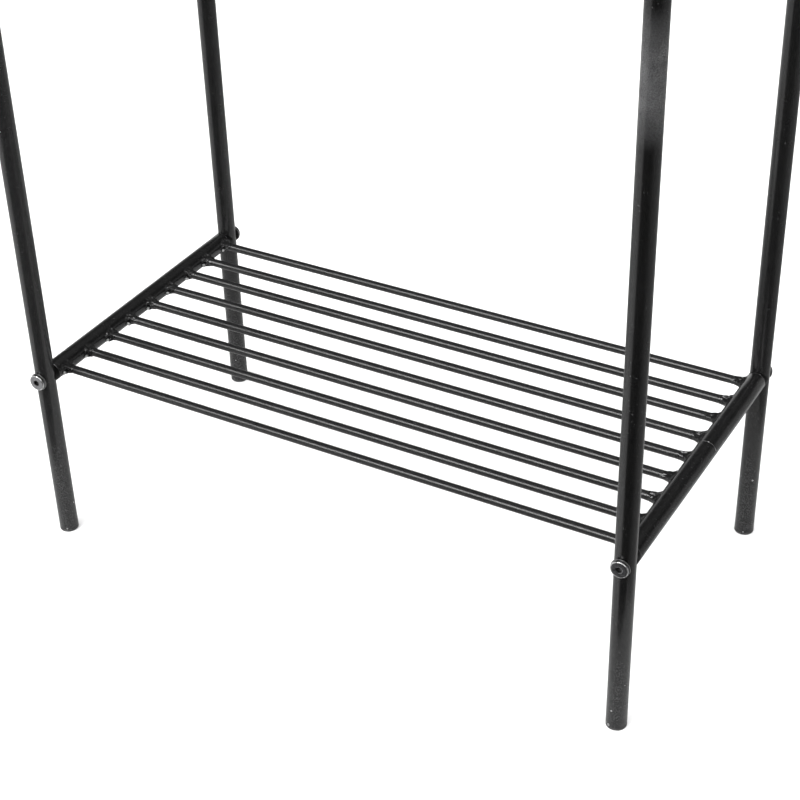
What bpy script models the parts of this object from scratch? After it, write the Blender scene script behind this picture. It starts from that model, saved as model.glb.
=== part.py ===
"""Garment rail: two welded side frames joined by a bolted rod shelf and a bolted hanging rail.

Metres, +Z up. The origin is on the floor at the centre of the footprint,
+X runs along the hanging rail and +Y points to the back.
"""

import math

import bmesh
import bpy
from mathutils import Matrix, Vector

# Whole frame
LEG_SPACING_X = 0.610            # leg axis to leg axis along the hanging rail
LEG_SPACING_Y = 0.315            # leg axis to leg axis, front to back
OVERALL_HEIGHT = 1.550           # floor to the crown of the leg caps
FIT_GAP = 0.0003                 # between faces that touch on the real object

# Legs and the plastic caps in their ends
LEG_DIAMETER = 0.019
LEG_WALL = 0.0012
CAP_SPIGOT_LENGTH = 0.014
CAP_SPIGOT_WALL = 0.0018
FOOT_CAP_THICKNESS = 0.0028
FOOT_CAP_EDGE = 0.0014           # rounding of the lower edge
TOP_CAP_THICKNESS = 0.0055
TOP_CAP_EDGE = 0.0045            # rounding of the crown

# Welded tubes that run front to back in each side frame
CROSS_TUBE_DIAMETER = 0.019
CROSS_TUBE_WALL = 0.0012
SIDE_BRACE_HEIGHT = 0.682        # axis of the middle brace
TOP_BAR_DROP = 0.035             # top of the legs to the axis of the top bar

# Hanging rail
RAIL_DIAMETER = 0.022
RAIL_WALL = 0.0012

# Shelf: two end tubes with rods welded between them
SHELF_HEIGHT = 0.184             # axis of the end tubes and rods
END_TUBE_DIAMETER = 0.019
END_TUBE_WALL = 0.0012
ROD_COUNT = 9
ROD_DIAMETER = 0.0083
ROD_FRONT_CLEARANCE = 0.0094     # surface of the front legs to the first rod
ROD_BACK_CLEARANCE = 0.0034      # surface of the back legs to the last rod
CROOKED_ROD = 8                  # this rod is welded a little out of line
CROOKED_ROD_SHIFT = -0.0024
WELD_REACH = 0.010               # length of a rod's weld fillet along the rod
WELD_SPREAD = 0.0012             # how far the fillet stands out from the rod
WELD_STEPS = 3                   # rings along a fillet

# Bolted joint: bolt and washer, tube wall, saddle plug, threaded insert
BOLT_DIAMETER = 0.006
BOLT_HEAD_DIAMETER = 0.0164
BOLT_HEAD_HEIGHT = 0.0026
BOLT_HEAD_CHAMFER = 0.0006
BOLT_THREAD_ENGAGED = 0.010
SOCKET_ACROSS_FLATS = 0.0052
SOCKET_DEPTH = 0.0021
WASHER_DIAMETER = 0.0176
WASHER_THICKNESS = 0.0012
BOLT_HOLE_CLEARANCE = 0.0003     # radial, bolt shank to tube wall, plug and thread
TUBE_SETBACK = 0.0010            # surface that the tube butts against to its cut end
SADDLE_WRAP = 0.007              # how far the plug's collar reaches round that surface
PLUG_SPIGOT_LENGTH = 0.018
PLUG_BRIDGE = 0.0035             # plastic left between the tube end and the insert
INSERT_DIAMETER = 0.010
INSERT_FLANGE_DIAMETER = 0.0128
INSERT_FLANGE_THICKNESS = 0.0012

# Facets round each kind of turned piece
TUBE_SEGMENTS = 24
ROD_SEGMENTS = 16
SMALL_SEGMENTS = 20
EDGE_STEPS = 2                   # steps in a rounded edge
SMOOTH_ANGLE = math.radians(35)
MERGE_DISTANCE = 0.000001

LEG_RADIUS = LEG_DIAMETER / 2
CROSS_TUBE_RADIUS = CROSS_TUBE_DIAMETER / 2
RAIL_RADIUS = RAIL_DIAMETER / 2
END_TUBE_RADIUS = END_TUBE_DIAMETER / 2
ROD_RADIUS = ROD_DIAMETER / 2
LEG_TOP = OVERALL_HEIGHT - TOP_CAP_THICKNESS - FIT_GAP
TOP_BAR_HEIGHT = LEG_TOP - TOP_BAR_DROP
SIDES = {"left": -1, "right": 1}
DEPTHS = {"front": -1, "back": 1}


def clear_scene():
    for item in list(bpy.data.objects):
        bpy.data.objects.remove(item, do_unlink=True)


def material(name, colour, roughness, metallic):
    """A Principled material, made once for each name."""
    found = bpy.data.materials.get(name)
    if found:
        return found
    made = bpy.data.materials.new(name)
    made.use_nodes = True
    shader = made.node_tree.nodes["Principled BSDF"]
    shader.inputs["Base Color"].default_value = (*colour, 1.0)
    shader.inputs["Roughness"].default_value = roughness
    shader.inputs["Metallic"].default_value = metallic
    return made


def powder_coat():
    return material("black_powder_coat", (0.028, 0.028, 0.029), 0.42, 0.0)


def black_plastic():
    return material("black_plastic", (0.018, 0.018, 0.018), 0.5, 0.0)


def plated_steel():
    return material("plated_steel", (0.62, 0.61, 0.59), 0.28, 1.0)


def insert_steel():
    return material("insert_steel", (0.55, 0.52, 0.45), 0.4, 1.0)


def add_object(name, shape, finish):
    """Turn a bmesh into a shaded object in the scene."""
    mesh = bpy.data.meshes.new(name)
    shape.to_mesh(mesh)
    shape.free()
    mesh.shade_smooth()
    mesh.set_sharp_from_angle(angle=SMOOTH_ANGLE)
    mesh.materials.append(finish)
    made = bpy.data.objects.new(name, mesh)
    bpy.context.scene.collection.objects.link(made)
    return made


def turned(name, outline, segments, finish):
    """Turn an outline of (radius, height) points about the local Z axis.

    An outline that starts and ends on the axis gives a solid piece,
    and any other one is closed and gives a ring.
    """
    shape = bmesh.new()
    points = [shape.verts.new((radius, 0, height)) for radius, height in outline]
    edges = [shape.edges.new(pair) for pair in zip(points, points[1:])]
    if outline[0][0] > 0:
        edges.append(shape.edges.new((points[-1], points[0])))
    bmesh.ops.spin(shape, geom=points + edges, cent=(0, 0, 0), axis=(0, 0, 1),
                   angle=2 * math.pi, steps=segments, use_merge=True)
    bmesh.ops.remove_doubles(shape, verts=shape.verts, dist=MERGE_DISTANCE)
    bmesh.ops.recalc_face_normals(shape, faces=shape.faces)
    return add_object(name, shape, finish)


def tube(name, length, radius, wall, finish):
    """A round tube along local Z, centred on its middle."""
    half = length / 2
    outline = [(radius, -half), (radius, half), (radius - wall, half), (radius - wall, -half)]
    return turned(name, outline, TUBE_SEGMENTS, finish)


def cutter(name, radius, length, segments):
    """A cylinder along local Z, centred on its middle, that only cuts."""
    shape = bmesh.new()
    bmesh.ops.create_cone(shape, cap_ends=True, segments=segments,
                          radius1=radius, radius2=radius, depth=length)
    made = add_object(name, shape, black_plastic())
    made.hide_render = True
    made.display_type = "WIRE"
    return made


def cut(piece, tool):
    modifier = piece.modifiers.new("cut " + tool.name, "BOOLEAN")
    modifier.operation = "DIFFERENCE"
    modifier.solver = "EXACT"
    modifier.object = tool


def place(piece, location, along="Z"):
    """Move a piece and turn its local Z axis to the named world axis."""
    turns = {"X": (0, math.pi / 2, 0), "Y": (-math.pi / 2, 0, 0), "Z": (0, 0, 0)}
    piece.rotation_euler = turns[along]
    piece.location = location


def rounded_edge(radius, edge):
    """Points of a quarter round, from a flat face at height 0 up to the full radius."""
    points = []
    for step in range(EDGE_STEPS + 1):
        angle = step / EDGE_STEPS * math.pi / 2
        points.append((radius - edge + edge * math.sin(angle), edge - edge * math.cos(angle)))
    return points


def end_cap(name, thickness, edge):
    """A plug for a leg's end, its flange down and its hollow spigot up."""
    spigot = LEG_RADIUS - LEG_WALL - FIT_GAP
    top = thickness + CAP_SPIGOT_LENGTH
    outline = [(0, 0)]
    outline += rounded_edge(LEG_RADIUS, edge)
    outline += [(LEG_RADIUS, thickness), (spigot, thickness), (spigot, top),
                (spigot - CAP_SPIGOT_WALL, top), (spigot - CAP_SPIGOT_WALL, thickness),
                (0, thickness)]
    return turned(name, outline, TUBE_SEGMENTS, black_plastic())


def make_leg(side, depth):
    """One leg with its bolt hole, foot cap and top cap."""
    corner = depth + "_" + side
    x = SIDES[side] * LEG_SPACING_X / 2
    y = DEPTHS[depth] * LEG_SPACING_Y / 2
    bottom = FOOT_CAP_THICKNESS + FIT_GAP
    leg = tube("leg_" + corner, LEG_TOP - bottom, LEG_RADIUS, LEG_WALL, powder_coat())
    place(leg, (x, y, (LEG_TOP + bottom) / 2))
    hole = cutter("hole_" + corner, BOLT_DIAMETER / 2 + BOLT_HOLE_CLEARANCE,
                  2 * LEG_DIAMETER, SMALL_SEGMENTS)
    place(hole, (x, y, SHELF_HEIGHT), along="Y")
    cut(leg, hole)
    foot = end_cap("foot_cap_" + corner, FOOT_CAP_THICKNESS, FOOT_CAP_EDGE)
    foot.location = (x, y, 0)
    crown = end_cap("top_cap_" + corner, TOP_CAP_THICKNESS, TOP_CAP_EDGE)
    crown.rotation_euler = (math.pi, 0, 0)
    crown.location = (x, y, OVERALL_HEIGHT)


def make_cross_tube(name, side, height, tools):
    """A front-to-back tube with its ends shaped to the legs."""
    piece = tube(name + "_" + side, LEG_SPACING_Y, CROSS_TUBE_RADIUS, CROSS_TUBE_WALL,
                 powder_coat())
    place(piece, (SIDES[side] * LEG_SPACING_X / 2, 0, height), along="Y")
    for tool in tools:
        cut(piece, tool)
    return piece


def make_side_frame(side):
    """Two legs with the brace and the top bar that are welded between them."""
    tools = []
    for depth in DEPTHS:
        make_leg(side, depth)
        tool = cutter("mouth_" + depth + "_" + side, LEG_RADIUS + FIT_GAP,
                      2 * OVERALL_HEIGHT, TUBE_SEGMENTS)
        tool.location = (SIDES[side] * LEG_SPACING_X / 2, DEPTHS[depth] * LEG_SPACING_Y / 2, 0)
        tools.append(tool)
    make_cross_tube("side_brace", side, SIDE_BRACE_HEIGHT, tools)
    bar = make_cross_tube("top_bar", side, TOP_BAR_HEIGHT, tools)
    hole = cutter("hole_top_" + side, BOLT_DIAMETER / 2 + BOLT_HOLE_CLEARANCE,
                  2 * CROSS_TUBE_DIAMETER, SMALL_SEGMENTS)
    place(hole, (SIDES[side] * LEG_SPACING_X / 2, 0, TOP_BAR_HEIGHT), along="X")
    cut(bar, hole)


def butted_length(spacing, host_radius):
    """Length of a tube that stops short of the two tubes that it is bolted between."""
    return spacing - 2 * (host_radius + TUBE_SETBACK)


def rod_outline():
    """Half outline of a rod, flared at both ends by its weld fillets."""
    half = LEG_SPACING_X / 2
    start = END_TUBE_RADIUS / 2 - half
    rising = [(0, start), (ROD_RADIUS + WELD_SPREAD, start)]
    for step in range(WELD_STEPS + 1):
        share = step / WELD_STEPS
        rising.append((ROD_RADIUS + WELD_SPREAD * (1 - share) ** 2,
                       END_TUBE_RADIUS + WELD_REACH * share - half))
    falling = [(radius, -height) for radius, height in reversed(rising)]
    return rising + falling


def rod_position(number):
    """Place of a rod across the shelf, the first one at the front."""
    first = -LEG_SPACING_Y / 2 + LEG_RADIUS + ROD_FRONT_CLEARANCE + ROD_RADIUS
    last = LEG_SPACING_Y / 2 - LEG_RADIUS - ROD_BACK_CLEARANCE - ROD_RADIUS
    y = first + (last - first) * (number - 1) / (ROD_COUNT - 1)
    if number == CROOKED_ROD:
        y += CROOKED_ROD_SHIFT
    return y


def make_shelf():
    """The two end tubes and the rods between them."""
    tools = []
    for side in SIDES:
        x = SIDES[side] * LEG_SPACING_X / 2
        end_tube = tube("shelf_end_tube_" + side, butted_length(LEG_SPACING_Y, LEG_RADIUS),
                        END_TUBE_RADIUS, END_TUBE_WALL, powder_coat())
        place(end_tube, (x, 0, SHELF_HEIGHT), along="Y")
        tool = cutter("saddle_" + side, END_TUBE_RADIUS + FIT_GAP, LEG_SPACING_Y,
                      TUBE_SEGMENTS)
        place(tool, (x, 0, SHELF_HEIGHT), along="Y")
        tools.append(tool)
    for number in range(1, ROD_COUNT + 1):
        rod = turned("shelf_rod_" + str(number), rod_outline(), ROD_SEGMENTS, powder_coat())
        place(rod, (0, rod_position(number), SHELF_HEIGHT), along="X")
        for tool in tools:
            cut(rod, tool)


def make_hanging_rail():
    rail = tube("hanging_rail", butted_length(LEG_SPACING_X, CROSS_TUBE_RADIUS),
                RAIL_RADIUS, RAIL_WALL, powder_coat())
    place(rail, (0, 0, TOP_BAR_HEIGHT), along="X")


def joint_frame(name, location, into_tube, host_axis):
    """An empty on a bolted joint: local Z points into the tube, local X along its host."""
    z_axis = Vector(into_tube)
    x_axis = Vector(host_axis)
    y_axis = z_axis.cross(x_axis)
    frame = bpy.data.objects.new(name, None)
    bpy.context.scene.collection.objects.link(frame)
    frame.rotation_mode = "QUATERNION"
    frame.rotation_quaternion = Matrix((x_axis, y_axis, z_axis)).transposed().to_quaternion()
    frame.location = location
    return frame


def make_bolt(name, host_radius, tip):
    """A bolt whose head stands outside the host tube and whose shank ends at tip."""
    shank = BOLT_DIAMETER / 2
    seat = -(host_radius + 2 * FIT_GAP + WASHER_THICKNESS)
    top = seat - BOLT_HEAD_HEIGHT
    head = BOLT_HEAD_DIAMETER / 2
    outline = [(0, top), (head - BOLT_HEAD_CHAMFER, top), (head, top + BOLT_HEAD_CHAMFER),
               (head, seat), (shank, seat), (shank, tip), (0, tip)]
    bolt = turned(name, outline, SMALL_SEGMENTS, plated_steel())
    socket = cutter("socket_" + name, SOCKET_ACROSS_FLATS / math.sqrt(3), 2 * SOCKET_DEPTH, 6)
    socket.parent = bolt
    socket.location = (0, 0, top)
    cut(bolt, socket)
    return bolt


def make_washer(name, host_radius):
    inner = BOLT_DIAMETER / 2 + BOLT_HOLE_CLEARANCE
    near = -(host_radius + FIT_GAP)
    far = near - WASHER_THICKNESS
    outline = [(inner, far), (WASHER_DIAMETER / 2, far), (WASHER_DIAMETER / 2, near),
               (inner, near)]
    return turned(name, outline, SMALL_SEGMENTS, plated_steel())


def make_plug(name, host_radius, tube_radius, tube_wall, pocket, end):
    """A plastic saddle plug: a collar hollowed to the host tube, and a spigot in the tube."""
    collar_end = host_radius + TUBE_SETBACK - FIT_GAP
    collar_start = host_radius - SADDLE_WRAP
    spigot = tube_radius - tube_wall - FIT_GAP
    bore = BOLT_DIAMETER / 2 + BOLT_HOLE_CLEARANCE
    seat = INSERT_DIAMETER / 2 + FIT_GAP
    outline = [(bore, collar_start), (tube_radius, collar_start), (tube_radius, collar_end),
               (spigot, collar_end), (spigot, end), (seat, end), (seat, pocket), (bore, pocket)]
    plug = turned(name, outline, TUBE_SEGMENTS, black_plastic())
    saddle = cutter("host_" + name, host_radius + FIT_GAP, 4 * tube_radius, TUBE_SEGMENTS)
    saddle.parent = plug
    saddle.rotation_euler = (0, math.pi / 2, 0)
    cut(plug, saddle)
    return plug


def make_insert(name, pocket, end):
    """A threaded insert whose flange bears on the inner end of the plug."""
    bore = BOLT_DIAMETER / 2 + BOLT_HOLE_CLEARANCE
    barrel = INSERT_DIAMETER / 2
    flange = INSERT_FLANGE_DIAMETER / 2
    start = pocket + FIT_GAP
    shoulder = end + FIT_GAP
    back = shoulder + INSERT_FLANGE_THICKNESS
    outline = [(bore, start), (barrel, start), (barrel, shoulder), (flange, shoulder),
               (flange, back), (bore, back)]
    return turned(name, outline, SMALL_SEGMENTS, insert_steel())


def make_bolted_joint(kind, place_name, frame, host_radius, tube_radius, tube_wall):
    """The four pieces that hold one tube end against the tube beside it."""
    tube_end = host_radius + TUBE_SETBACK
    pocket = tube_end + PLUG_BRIDGE
    end = tube_end - FIT_GAP + PLUG_SPIGOT_LENGTH
    tip = pocket + FIT_GAP + BOLT_THREAD_ENGAGED
    pieces = [
        make_bolt(kind + "_bolt_" + place_name, host_radius, tip),
        make_washer(kind + "_washer_" + place_name, host_radius),
        make_plug(kind + "_plug_" + place_name, host_radius, tube_radius, tube_wall,
                  pocket, end),
        make_insert(kind + "_insert_" + place_name, pocket, end),
    ]
    for piece in pieces:
        piece.parent = frame


def make_shelf_joints():
    for side in SIDES:
        for depth in DEPTHS:
            corner = depth + "_" + side
            location = (SIDES[side] * LEG_SPACING_X / 2, DEPTHS[depth] * LEG_SPACING_Y / 2,
                        SHELF_HEIGHT)
            frame = joint_frame("shelf_joint_" + corner, location,
                                (0, -DEPTHS[depth], 0), (0, 0, 1))
            make_bolted_joint("shelf", corner, frame, LEG_RADIUS, END_TUBE_RADIUS,
                              END_TUBE_WALL)


def make_rail_joints():
    for side in SIDES:
        location = (SIDES[side] * LEG_SPACING_X / 2, 0, TOP_BAR_HEIGHT)
        frame = joint_frame("rail_joint_" + side, location, (-SIDES[side], 0, 0), (0, 1, 0))
        make_bolted_joint("rail", side, frame, CROSS_TUBE_RADIUS, RAIL_RADIUS, RAIL_WALL)


def main():
    clear_scene()
    for side in SIDES:
        make_side_frame(side)
    make_shelf()
    make_hanging_rail()
    make_shelf_joints()
    make_rail_joints()


main()
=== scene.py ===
import math

import bmesh
import bpy
from mathutils import Matrix, Vector, noise


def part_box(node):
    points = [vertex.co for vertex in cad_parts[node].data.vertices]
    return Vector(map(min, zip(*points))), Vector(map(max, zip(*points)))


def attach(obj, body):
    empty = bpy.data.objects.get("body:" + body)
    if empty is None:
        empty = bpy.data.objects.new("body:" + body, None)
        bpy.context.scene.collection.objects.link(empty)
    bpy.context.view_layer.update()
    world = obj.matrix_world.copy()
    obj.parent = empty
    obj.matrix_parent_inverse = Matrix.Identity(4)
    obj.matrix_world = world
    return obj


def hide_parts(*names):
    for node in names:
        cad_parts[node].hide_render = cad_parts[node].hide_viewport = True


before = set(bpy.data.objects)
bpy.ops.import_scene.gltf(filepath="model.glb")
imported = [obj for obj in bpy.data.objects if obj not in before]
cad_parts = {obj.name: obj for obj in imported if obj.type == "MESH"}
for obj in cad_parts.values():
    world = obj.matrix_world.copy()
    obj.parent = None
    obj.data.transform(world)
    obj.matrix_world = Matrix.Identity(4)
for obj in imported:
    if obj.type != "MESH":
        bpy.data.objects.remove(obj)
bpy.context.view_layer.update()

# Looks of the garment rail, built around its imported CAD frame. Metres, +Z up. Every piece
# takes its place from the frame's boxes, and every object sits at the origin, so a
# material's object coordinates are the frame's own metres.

MM = 0.001
SIDES = ("left", "right")
DEPTHS = ("front", "back")
CORNERS = [depth + "_" + side for side in SIDES for depth in DEPTHS]

# Mesh fineness
TUBE_POINTS = 96
BOLT_POINTS = 96
SMOOTH_ANGLE = math.radians(32)

# Sizes that the frame's boxes don't give
FIT_GAP = 0.3 * MM               # the frame's gap between faces that touch
TUBE_WALL = 1.2 * MM
EDGE = 0.30 * MM                 # coated edge of a cut tube
ROD_RADIUS = 4.15 * MM
BOLT_SHANK = 3.0 * MM
HOLE_RADIUS = 3.3 * MM
SOCKET_FLATS = 5.2 * MM
SOCKET_DEPTH = 2.1 * MM
CAP_SPIGOT_WALL = 1.8 * MM
INSERT_RADIUS = 5.3 * MM         # pocket for the threaded insert in a plug

# Camera, at the photograph's viewing angle
CAMERA_PLACE = (0.7382, -1.2523, 1.1272)
CAMERA_AZIMUTH = math.radians(31.27)
CAMERA_ELEVATION = math.radians(34.09)
CAMERA_ROLL = math.radians(-2.17)
FOCAL_PIXELS = 1803.7
FRAME_PIXELS = 800
SENSOR_WIDTH = 36.0
SHIFT = (0.025, 0.015)


# ---------------------------------------------------------------- mesh tools

def box_centre(node):
    low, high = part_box(node)
    return (low + high) / 2


def box_size(node):
    low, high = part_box(node)
    return high - low


def add_piece(name, shape, finish, slot, *nodes):
    """Make a bmesh a visible piece of the object, standing for the CAD nodes named."""
    mesh = bpy.data.meshes.new(name)
    shape.to_mesh(mesh)
    shape.free()
    mesh.shade_smooth()
    mesh.set_sharp_from_angle(angle=SMOOTH_ANGLE)
    mesh.materials.append(finish)
    piece = bpy.data.objects.new(name, mesh)
    bpy.context.scene.collection.objects.link(piece)
    if nodes:
        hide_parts(*nodes)
    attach(piece, "root")
    return piece


def skin(rings, loop=False):
    """Join rings of points: a loop closes on its first ring, anything else is capped."""
    shape = bmesh.new()
    rows = [[shape.verts.new(point) for point in ring] for ring in rings]
    pairs = list(zip(rows, rows[1:]))
    if loop:
        pairs.append((rows[-1], rows[0]))
    else:
        shape.faces.new(rows[0])
        shape.faces.new(rows[-1])
    for low, high in pairs:
        for i in range(len(low)):
            j = (i + 1) % len(low)
            shape.faces.new((low[i], low[j], high[j], high[i]))
    bmesh.ops.recalc_face_normals(shape, faces=shape.faces)
    return shape


def ring(radius, height, points, place):
    """A circle about the local Z axis, moved by the matrix place."""
    turns = [2 * math.pi * i / points for i in range(points)]
    return [place @ Vector((radius * math.cos(a), radius * math.sin(a), height)) for a in turns]


def turned(profile, place, points=TUBE_POINTS, loop=False):
    """A profile of (radius, height) points turned about the local Z axis."""
    return skin([ring(radius, height, points, place) for radius, height in profile], loop)


def round_corner(radius, height, edge, steps, start, end):
    """Profile points of a rounded corner of size edge, centred on (radius, height)."""
    points = []
    for step in range(steps + 1):
        turn = math.radians(start + (end - start) * step / steps)
        points.append((radius + edge * math.cos(turn), height + edge * math.sin(turn)))
    return points


def axes(origin, along, beside):
    """A matrix whose local Z runs along one direction and local X beside it."""
    z_axis = Vector(along).normalized()
    x_axis = Vector(beside).normalized()
    y_axis = z_axis.cross(x_axis)
    turn = Matrix((x_axis, y_axis, z_axis)).transposed().to_4x4()
    return Matrix.Translation(origin) @ turn


def cut_away(piece, radius, length, place):
    """Cut a cylinder out of a piece, for good."""
    tool_mesh = bpy.data.meshes.new("cutter")
    shape = turned([(radius, -length / 2), (radius, length / 2)], place)
    shape.to_mesh(tool_mesh)
    shape.free()
    tool = bpy.data.objects.new("cutter", tool_mesh)
    bpy.context.scene.collection.objects.link(tool)
    modifier = piece.modifiers.new("cut", "BOOLEAN")
    modifier.operation = "DIFFERENCE"
    modifier.solver = "EXACT"
    modifier.object = tool
    bpy.context.view_layer.update()
    seen = piece.evaluated_get(bpy.context.evaluated_depsgraph_get())
    result = bpy.data.meshes.new_from_object(seen)
    piece.modifiers.clear()
    piece.data = result
    result.shade_smooth()
    result.set_sharp_from_angle(angle=SMOOTH_ANGLE)
    bpy.data.objects.remove(tool, do_unlink=True)
    bpy.data.meshes.remove(tool_mesh)


def mix(a, b, share):
    return a + (b - a) * share


def smooth_step(low, high, value):
    share = min(1.0, max(0.0, (value - low) / (high - low)))
    return share * share * (3 - 2 * share)


def bump_at(value, centre, width):
    """A bell of height 1 at centre that fades over width."""
    return math.exp(-((value - centre) / width) ** 2)


# ---------------------------------------------------------------- materials

def new_material(name):
    made = bpy.data.materials.new(name)
    made.use_nodes = True
    return made, made.node_tree, made.node_tree.nodes["Principled BSDF"]


def add_node(tree, kind, **settings):
    """Add a shader node, and set its properties and its inputs by name."""
    made = tree.nodes.new(kind)
    for key, value in settings.items():
        if key in made.inputs:
            made.inputs[key].default_value = value
        else:
            setattr(made, key, value)
    return made


def noise_node(tree, coordinates, scale, detail=2.0, roughness=0.5):
    made = add_node(tree, "ShaderNodeTexNoise", Scale=scale, Detail=detail, Roughness=roughness)
    tree.links.new(coordinates, made.inputs["Vector"])
    return made.outputs["Fac"]


def math_node(tree, operation, first, second=None):
    """A maths node whose inputs are sockets or plain numbers."""
    made = add_node(tree, "ShaderNodeMath", operation=operation)
    for socket, value in zip(made.inputs, (first, second)):
        if isinstance(value, (int, float)):
            socket.default_value = value
        elif value is not None:
            tree.links.new(value, socket)
    return made.outputs["Value"]


def spread_node(tree, value, low, high, to_low, to_high):
    made = add_node(tree, "ShaderNodeMapRange", clamp=True)
    made.inputs["From Min"].default_value = low
    made.inputs["From Max"].default_value = high
    made.inputs["To Min"].default_value = to_low
    made.inputs["To Max"].default_value = to_high
    tree.links.new(value, made.inputs["Value"])
    return made.outputs["Result"]


def ramp_node(tree, value, stops):
    """A colour ramp through (position, (red, green, blue)) stops."""
    made = tree.nodes.new("ShaderNodeValToRGB")
    elements = made.color_ramp.elements
    while len(elements) < len(stops):
        elements.new(0.5)
    for element, (position, colour) in zip(elements, stops):
        element.position = position
        element.color = (*colour, 1.0)
    tree.links.new(value, made.inputs["Fac"])
    return made.outputs["Color"]


def blend_node(tree, share, first, second):
    made = add_node(tree, "ShaderNodeMix", data_type="RGBA")
    tree.links.new(share, made.inputs["Factor"])
    tree.links.new(first, made.inputs["A"])
    tree.links.new(second, made.inputs["B"])
    return made.outputs["Result"]


def bump_node(tree, height, strength, distance, normal=None):
    made = add_node(tree, "ShaderNodeBump", Strength=strength, Distance=distance)
    tree.links.new(height, made.inputs["Height"])
    if normal:
        tree.links.new(normal, made.inputs["Normal"])
    return made.outputs["Normal"]


def grey(value):
    return (value, value, value * 1.02)


def height_window(tree, place, low, high, fade):
    """1 between two heights, fading out over the distance fade."""
    parts = add_node(tree, "ShaderNodeSeparateXYZ")
    tree.links.new(place, parts.inputs["Vector"])
    rise = spread_node(tree, parts.outputs["Z"], low, low + fade, 0.0, 1.0)
    fall = spread_node(tree, parts.outputs["Z"], high - fade, high, 1.0, 0.0)
    return math_node(tree, "MULTIPLY", rise, fall)


COAT_BLACK = 0.0027
LIGHTENING_HEIGHT = 0.15               # the lightening near the floor fades out this far up
FLOOR_LIGHTENING = 0.42
GLOSS_SPREAD = 0.09


def powder_coat(name, pale=1.0, rough=0.19, painted_reflection=None):
    """Satin black powder coat: orange peel, fine grain, lighter towards the floor, pale specks.

    pale lightens the black, and rough is the lowest roughness. The last argument gives a painted
    reflection: a lighter band between two heights, with the distance over which it fades.
    """
    made, tree, shader = new_material(name)
    place = add_node(tree, "ShaderNodeTexCoord").outputs["Object"]
    mottle = noise_node(tree, place, 46.0, 3.0, 0.6)
    black = COAT_BLACK * pale
    coat = ramp_node(tree, mottle, [(0.3, grey(0.6 * black)), (0.55, grey(black)),
                                    (0.75, grey(1.7 * black))])
    grain = noise_node(tree, place, 1300.0, 3.0, 0.65)
    light = ramp_node(tree, grain, [(0.36, grey(0.3 * black)), (0.50, grey(black)),
                                    (0.68, grey(3.4 * black))])
    body = blend_node(tree, spread_node(tree, mottle, 0.2, 0.8, 0.45, 0.8), coat, light)
    grit = noise_node(tree, place, 700.0, 2.0, 0.6)
    # Lighter and speckled towards the floor, fading out up to a set height.
    low = math_node(tree, "MULTIPLY",
                    height_window(tree, place, -0.1, LIGHTENING_HEIGHT, LIGHTENING_HEIGHT), FLOOR_LIGHTENING)
    lighter_near_floor = ramp_node(tree, grit, [(0.42, grey(0.003)), (0.50, grey(0.022)), (0.62, grey(0.140))])
    floor_lightening_share = math_node(tree, "MULTIPLY", low, spread_node(tree, grain, 0.42, 0.62, 0.5, 1.0))
    body = blend_node(tree, floor_lightening_share, body, lighter_near_floor)
    # Painted reflection: a lighter cloudy band on the coat between two heights.
    if painted_reflection:
        reflection_window = height_window(tree, place, *painted_reflection)
        cloud = spread_node(tree, noise_node(tree, place, 55.0, 3.0, 0.5), 0.25, 0.6, 0.55, 1.0)
        wear_and_painted_light = ramp_node(tree, grain, [(0.36, grey(0.030)), (0.66, grey(0.078))])
        body = blend_node(tree, math_node(tree, "MULTIPLY", reflection_window, cloud), body, wear_and_painted_light)
    dust = spread_node(tree, noise_node(tree, place, 620.0, 0.0), 0.80, 0.84, 0.0, 0.8)
    pale_dust = ramp_node(tree, dust, [(0.0, grey(0.03)), (1.0, grey(0.06))])
    tree.links.new(blend_node(tree, dust, body, pale_dust), shader.inputs["Base Color"])
    gloss = spread_node(tree, noise_node(tree, place, 90.0, 4.0, 0.65), 0.3, 0.7, rough,
                        rough + GLOSS_SPREAD)
    tree.links.new(gloss, shader.inputs["Roughness"])
    peel = bump_node(tree, noise_node(tree, place, 520.0, 1.0), 0.11, 0.35 * MM)
    fine = bump_node(tree, grain, 0.22, 0.12 * MM, peel)
    tree.links.new(fine, shader.inputs["Normal"])
    sheen = spread_node(tree, grain, 0.38, 0.62, 0.34, 0.74)
    tree.links.new(sheen, shader.inputs["Specular IOR Level"])
    return made


def worn_edge_with_painted_glint():
    """Coat worn thin on the sharp edge of a cut tube; its bright patches are partly wear, partly a
    painted glint.
    """
    made, tree, shader = new_material("worn_coat_edge_and_painted_glint")
    place = add_node(tree, "ShaderNodeTexCoord").outputs["Object"]
    wear_and_painted_light = noise_node(tree, place, 240.0, 3.0, 0.6)
    colour = ramp_node(tree, wear_and_painted_light, [(0.40, grey(0.01)), (0.56, grey(0.10)), (0.66, grey(0.45))])
    tree.links.new(colour, shader.inputs["Base Color"])
    gloss = spread_node(tree, wear_and_painted_light, 0.4, 0.6, 0.30, 0.45)
    tree.links.new(gloss, shader.inputs["Roughness"])
    return made


PLASTIC_BLACK = 0.009


def black_plastic(name, pale, shine):
    """Moulded black plastic with a fine spark-eroded grain and scuffed patches."""
    made, tree, shader = new_material(name)
    place = add_node(tree, "ShaderNodeTexCoord").outputs["Object"]
    scuff = noise_node(tree, place, 160.0, 5.0, 0.7)
    black = PLASTIC_BLACK * pale
    colour = ramp_node(tree, scuff, [(0.35, grey(0.6 * black)), (0.6, grey(black)),
                                     (0.8, grey(2.5 * black))])
    tree.links.new(colour, shader.inputs["Base Color"])
    gloss = spread_node(tree, scuff, 0.3, 0.75, 0.42, 0.62)
    tree.links.new(gloss, shader.inputs["Roughness"])
    grain = bump_node(tree, noise_node(tree, place, 2600.0, 2.0), 0.25, 0.1 * MM)
    tree.links.new(grain, shader.inputs["Normal"])
    shader.inputs["Specular IOR Level"].default_value = shine
    return made


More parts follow.
